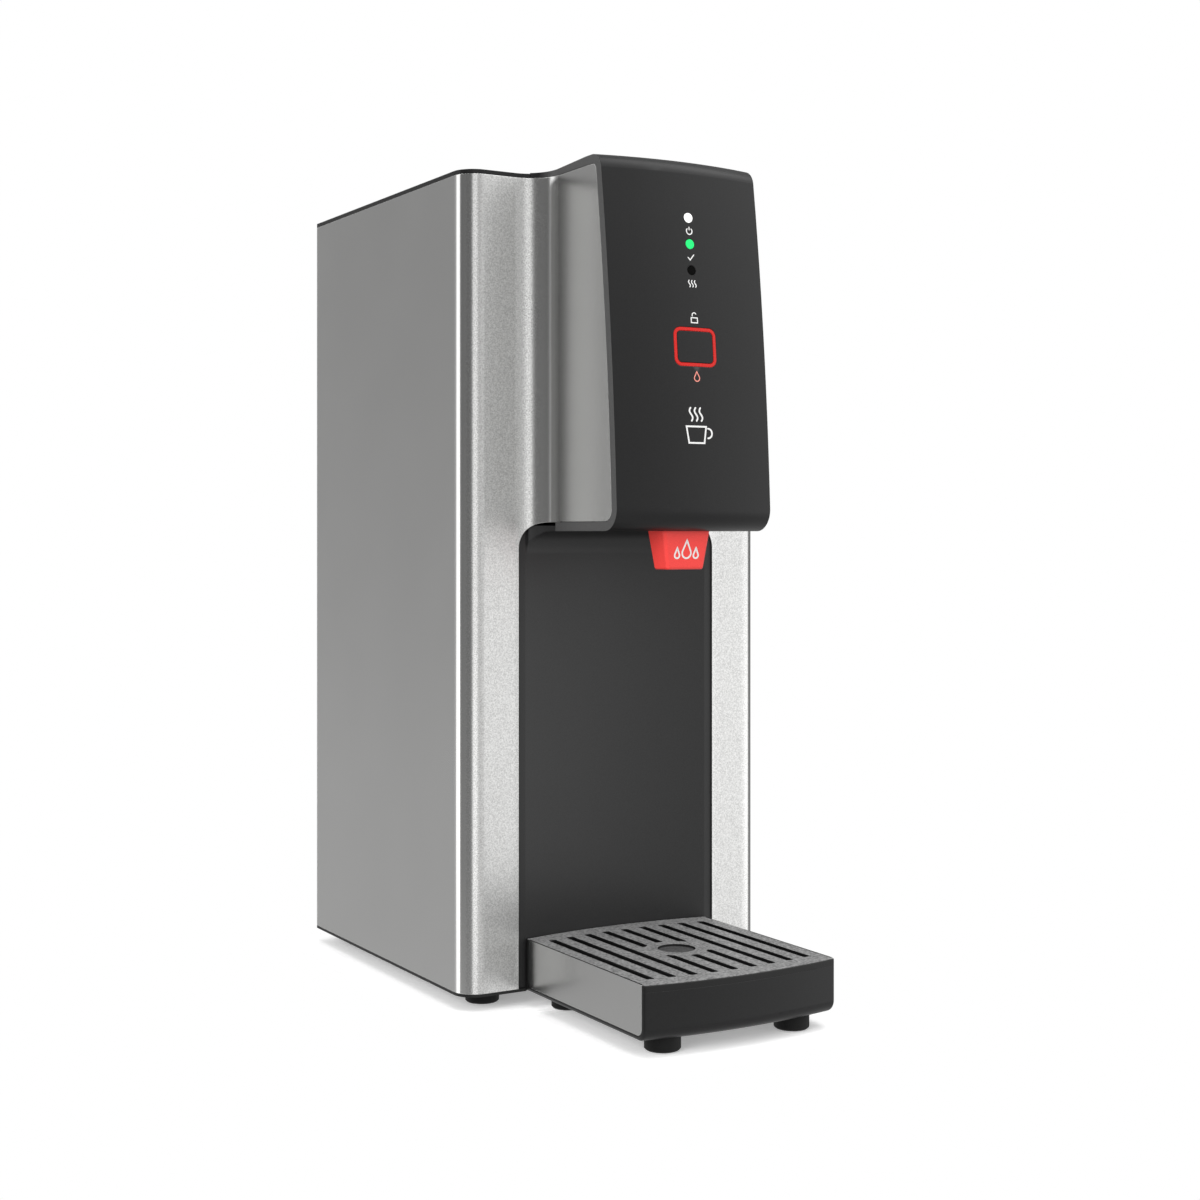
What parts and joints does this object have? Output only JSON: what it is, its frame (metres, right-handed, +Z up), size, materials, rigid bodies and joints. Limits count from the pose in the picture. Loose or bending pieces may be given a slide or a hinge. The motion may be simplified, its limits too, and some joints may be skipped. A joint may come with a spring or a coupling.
{
  "type": "countertop water dispenser",
  "caption": "Tall slim countertop hot water dispenser: steel cabinet, overhanging control head with push button and nozzle, recess for a cup and a slotted drip tray.",
  "frame": {"origin": "on the counter, under the middle of the outline", "axes": "+Z up, front towards -Y, +X to the right as seen from the front with the viewer facing it"},
  "size_m": [0.19, 0.3504, 0.4495],
  "materials": {
    "steel": "satin brushed stainless sheet",
    "black_plastic": "fine-grained satin black moulding",
    "grey_plastic": "grained dark grey moulding",
    "black_paint": "black powder coat",
    "red_plastic": "bright red moulding",
    "rubber": "moulded black rubber",
    "white_lens": "clear light pipe, lit white",
    "green_lens": "clear light pipe, lit green",
    "dark_lens": "smoked light pipe, unlit",
    "red_ring": "red light guide",
    "zinc": "zinc-plated steel",
    "spring_steel": "drawn spring wire",
    "tank_steel": "plain stainless sheet",
    "foam": "closed-cell foam",
    "silicone": "translucent silicone",
    "brass": "machined brass",
    "board": "green circuit laminate",
    "coil": "moulded coil",
    "aluminium": "extruded, natural",
    "nylon": "black nylon"
  },
  "bodies": {
    "cabinet": {"base_plate": "black_paint", "body_feet": "rubber", "body_foot_screws": "zinc", "left_wrap": "steel", "right_wrap": "steel", "rear_panel": "steel", "rear_panel_screws": "zinc", "top_cover": "black_plastic", "splash_panel": "black_plastic", "head_front_cover": "black_plastic", "power_lens": "white_lens", "ready_lens": "green_lens", "heating_lens": "dark_lens", "button_ring": "red_ring", "button_spring": "spring_steel", "display_board": "board", "dispense_switch": "nylon", "display_board_screws": "zinc", "nozzle_shroud": "red_plastic", "valve_bracket": "zinc", "head_screws": "zinc", "outlet_spout": "tank_steel", "dispense_valve_body": "nylon", "dispense_valve_coil": "coil", "dispense_valve_spring": "spring_steel", "tank_shell": "tank_steel", "tank_gasket": "silicone", "tank_lid": "tank_steel", "tank_lid_screws": "zinc", "tank_insulation": "foam", "tank_stand": "zinc", "heating_element": "brass", "temperature_probe": "tank_steel", "level_probe": "tank_steel", "high_limit_thermostat": "nylon", "outlet_hose": "silicone", "hose_clamps": "zinc", "inlet_fitting": "brass", "inlet_valve_body": "nylon", "inlet_valve_coil": "coil", "inlet_valve_spring": "spring_steel", "inlet_hose": "silicone", "drain_tube": "tank_steel", "drain_cap": "nylon", "vent_tube": "silicone", "power_gland": "nylon", "power_switch_housing": "nylon", "board_standoffs": "nylon", "control_board": "board", "heatsink": "aluminium", "terminal_block": "nylon"},
    "tray": {"tray_base": "black_plastic", "tray_cheeks": "steel", "tray_feet": "rubber", "tray_foot_screws": "zinc"},
    "grate": {"drip_grate": "grey_plastic"},
    "button": {"dispense_button": "black_plastic"},
    "dispense_plunger": {"dispense_plunger": "tank_steel"},
    "inlet_plunger": {"inlet_plunger": "tank_steel"},
    "rocker": {"power_rocker": "nylon"}
  },
  "joints": [
    {"name": "tray_slide", "type": "slide", "parent": "cabinet", "child": "tray", "axis": [0, -1, 0], "range_m": [0, 0.15]},
    {"name": "grate_lift", "type": "slide", "parent": "tray", "child": "grate", "axis": [0, 0, 1], "range_m": [0, 0.06]},
    {"name": "button_press", "type": "slide", "parent": "cabinet", "child": "button", "axis": [0, 0.9965, -0.0839], "range_m": [0, 0.0012], "stiffness_N_per_m": 600, "springref_m": -0.0005, "deforming": ["button_spring"]},
    {"name": "dispense_valve_lift", "type": "slide", "parent": "cabinet", "child": "dispense_plunger", "axis": [0, 0, 1], "range_m": [0, 0.003], "stiffness_N_per_m": 300, "springref_m": -0.002, "deforming": ["dispense_valve_spring"]},
    {"name": "inlet_valve_lift", "type": "slide", "parent": "cabinet", "child": "inlet_plunger", "axis": [0, 0, 1], "range_m": [0, 0.003], "stiffness_N_per_m": 300, "springref_m": -0.002, "deforming": ["inlet_valve_spring"]},
    {"name": "rocker_tilt", "type": "hinge", "parent": "cabinet", "child": "rocker", "pos_m": [-0.062, 0.15525, 0.1193], "axis": [1, 0, 0], "range_deg": [-20, 0]}
  ]
}
